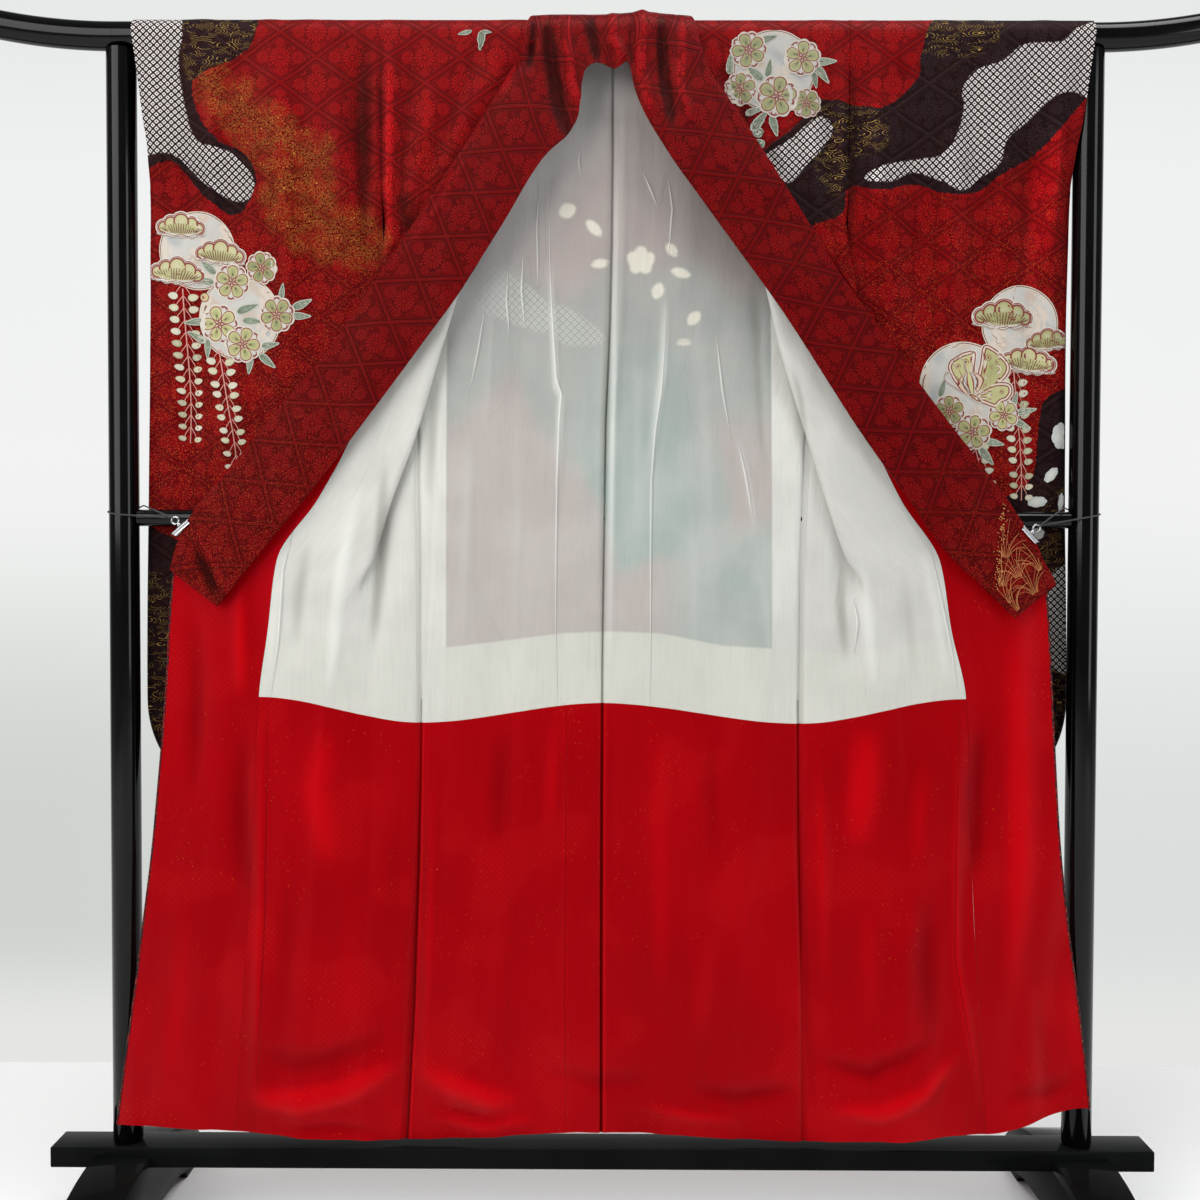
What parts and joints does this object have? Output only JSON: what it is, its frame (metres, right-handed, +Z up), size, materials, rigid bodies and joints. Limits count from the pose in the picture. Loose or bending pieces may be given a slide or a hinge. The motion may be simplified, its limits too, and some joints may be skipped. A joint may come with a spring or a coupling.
{
  "type": "furisode on kimono stand",
  "caption": "Lined long-sleeved kimono hung open, lining side forward, over the rail of a black lacquered kimono stand; spring clips hold its collar open.",
  "frame": {"origin": "on the floor, midway between the stand's two feet, below its top rail", "axes": "+Z up, X along the stand's rails, -Y towards the viewer, whom the garment's open front faces"},
  "size_m": [1.84, 0.4294, 1.7652],
  "materials": {
    "lacquer": "high gloss black lacquer",
    "brocade": "figured silk with a soft sheen and gold thread",
    "white_silk": "thin plain silk, slightly translucent",
    "red_silk": "smooth silk satin",
    "chrome": "polished",
    "elastic": "matt braided elastic"
  },
  "bodies": {
    "root": {"stand_foot_left": "lacquer", "stand_foot_right": "lacquer", "stand_beam": "lacquer", "stand_post_left": "lacquer", "stand_post_right": "lacquer", "stand_mid_rail": "lacquer", "stand_top_rail": "lacquer", "stand_rail_tip_left": "lacquer", "stand_rail_tip_right": "lacquer", "body_left": "brocade", "body_right": "brocade", "okumi_left": "brocade", "okumi_right": "brocade", "sleeve_front_left": "brocade", "sleeve_back_left": "brocade", "sleeve_front_right": "brocade", "sleeve_back_right": "brocade", "collar": "brocade", "white_back_left": "white_silk", "white_back_right": "white_silk", "white_front_left": "white_silk", "white_front_right": "white_silk", "red_back_left": "red_silk", "red_back_right": "red_silk", "red_front_left": "red_silk", "red_front_right": "red_silk", "red_okumi_left": "red_silk", "red_okumi_right": "red_silk", "clip_left": "chrome", "clip_right": "chrome", "clip_cord_left": "elastic", "clip_cord_right": "elastic"}
  },
  "joints": []
}
